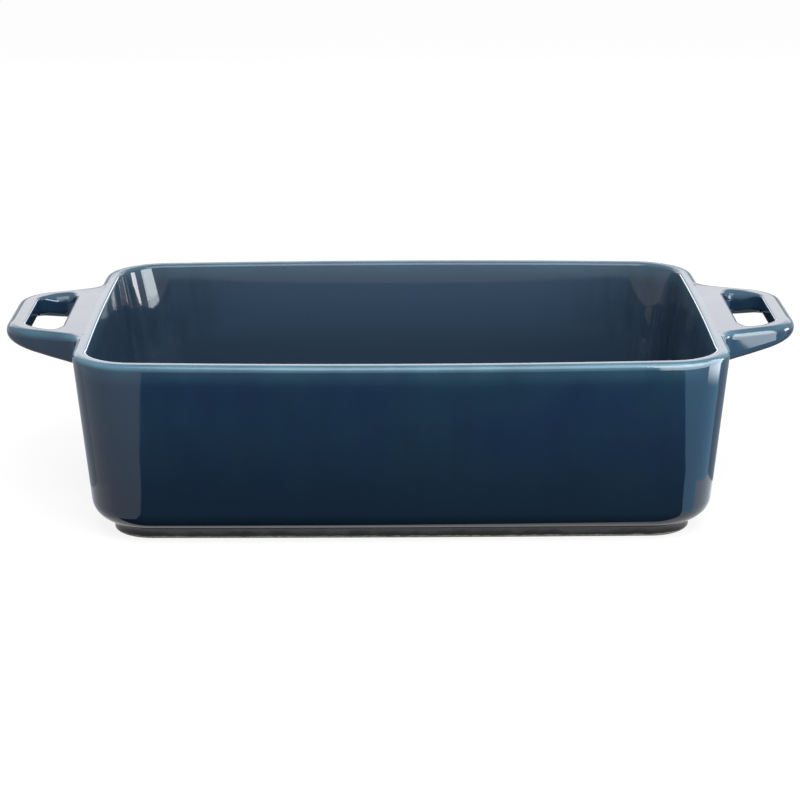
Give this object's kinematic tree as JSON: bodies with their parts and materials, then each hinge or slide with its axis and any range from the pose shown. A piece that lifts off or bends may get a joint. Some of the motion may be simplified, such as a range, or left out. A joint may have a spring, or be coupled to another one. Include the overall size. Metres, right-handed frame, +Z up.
{
  "type": "baking dish",
  "caption": "Rectangular glazed stoneware baking dish with drafted, slightly bowed walls, a loop handle flush with the rim at each end, and a low foot ring.",
  "frame": {"origin": "on the table under the middle of the dish, at the bottom of the foot ring", "axes": "+X along the dish through both handles, +Y across it, +Z up"},
  "size_m": [0.3286, 0.1796, 0.075],
  "materials": {
    "glaze": "deep teal-blue gloss glaze, breaking paler on the edges",
    "foot_clay": "dark glaze on the side, wiped to bare cream stoneware underneath"
  },
  "bodies": {
    "root": {"dish_body": "glaze", "handle_left": "glaze", "handle_right": "glaze", "foot_ring": "foot_clay"}
  },
  "joints": []
}
